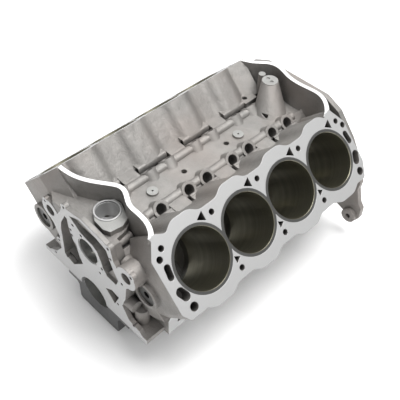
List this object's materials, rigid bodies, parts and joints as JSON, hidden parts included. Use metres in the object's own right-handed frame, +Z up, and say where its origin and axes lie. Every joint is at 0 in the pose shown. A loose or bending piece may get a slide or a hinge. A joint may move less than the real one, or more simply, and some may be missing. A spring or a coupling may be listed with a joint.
{
  "type": "engine block",
  "caption": "Bare V engine block in cast aluminium with iron cylinder liners, open valley, machined decks and bolted steel main bearing caps.",
  "frame": {"origin": "on the crank axis, midway along the front main bearing", "axes": "+Y runs along the crank axis towards the bell housing, +Z up between the banks, +X towards the right bank as seen from the front"},
  "size_m": [0.4972, 0.616, 0.3447],
  "materials": {
    "cast_aluminium": "as cast with machined faces",
    "liner_iron": "honed bore",
    "cap_steel": "machined",
    "bolt_steel": "black oxide",
    "bearing_metal": "bored",
    "plug_steel": "turned"
  },
  "bodies": {
    "root": {"bell_dowels": "plug_steel", "block_casting": "cast_aluminium", "cam_bearing_1": "bearing_metal", "cam_bearing_2": "bearing_metal", "cam_bearing_3": "bearing_metal", "cam_bearing_4": "bearing_metal", "cam_bearing_5": "bearing_metal", "gallery_plugs": "plug_steel", "inner_cap_bolts": "bolt_steel", "left_front_core_plug": "plug_steel", "left_liner_1": "liner_iron", "left_liner_2": "liner_iron", "left_liner_3": "liner_iron", "left_liner_4": "liner_iron", "left_side_core_plugs": "plug_steel", "main_cap_1": "cap_steel", "main_cap_2": "cap_steel", "main_cap_3": "cap_steel", "main_cap_4": "cap_steel", "main_cap_5": "cap_steel", "outer_cap_bolts": "bolt_steel", "rear_cam_plug": "plug_steel", "right_front_core_plug": "plug_steel", "right_liner_1": "liner_iron", "right_liner_2": "liner_iron", "right_liner_3": "liner_iron", "right_liner_4": "liner_iron", "right_side_core_plugs": "plug_steel"}
  },
  "joints": []
}
